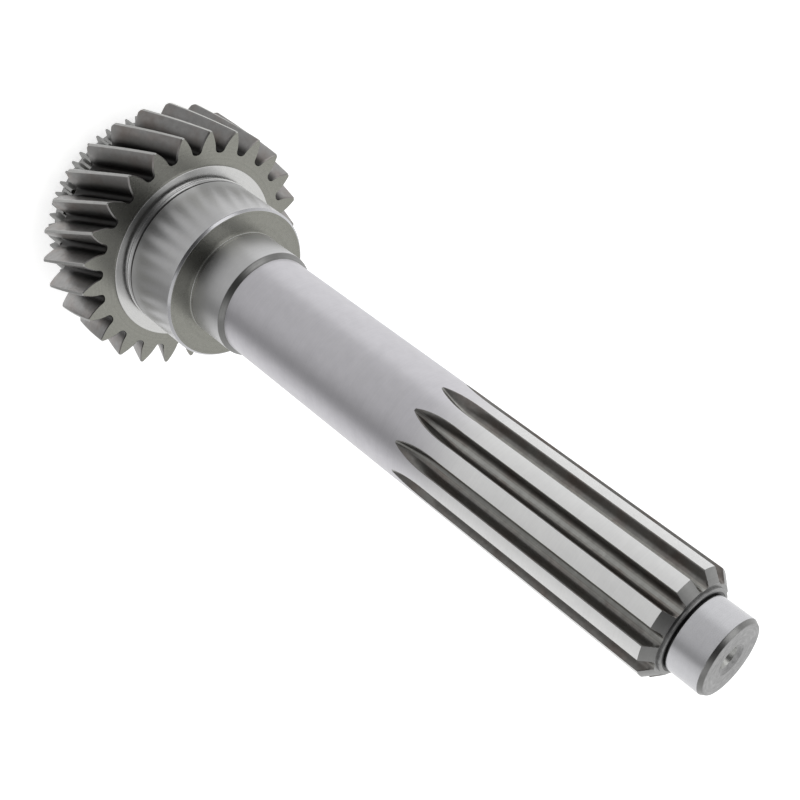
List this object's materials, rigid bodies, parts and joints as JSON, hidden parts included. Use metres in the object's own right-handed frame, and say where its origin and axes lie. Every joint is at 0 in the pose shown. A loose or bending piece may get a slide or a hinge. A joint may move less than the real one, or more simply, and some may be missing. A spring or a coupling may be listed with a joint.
{
  "type": "input pinion",
  "caption": "Gearbox input shaft in one piece with a helical pinion, dog teeth, ground bearing seats, parallel-sided clutch splines and a pilot journal.",
  "frame": {"origin": "centre of the rear hub face, on the shaft's axis", "axes": "+Z along the shaft from the gear end to the pilot journal, +X through the middle of a spline space"},
  "size_m": [0.1122, 0.1122, 0.3397],
  "materials": {
    "machined_steel": "case-hardened alloy steel: ground journals, satin turned shaft, matte grey gear teeth and faces"
  },
  "bodies": {
    "root": {"input_pinion": "machined_steel"}
  },
  "joints": []
}
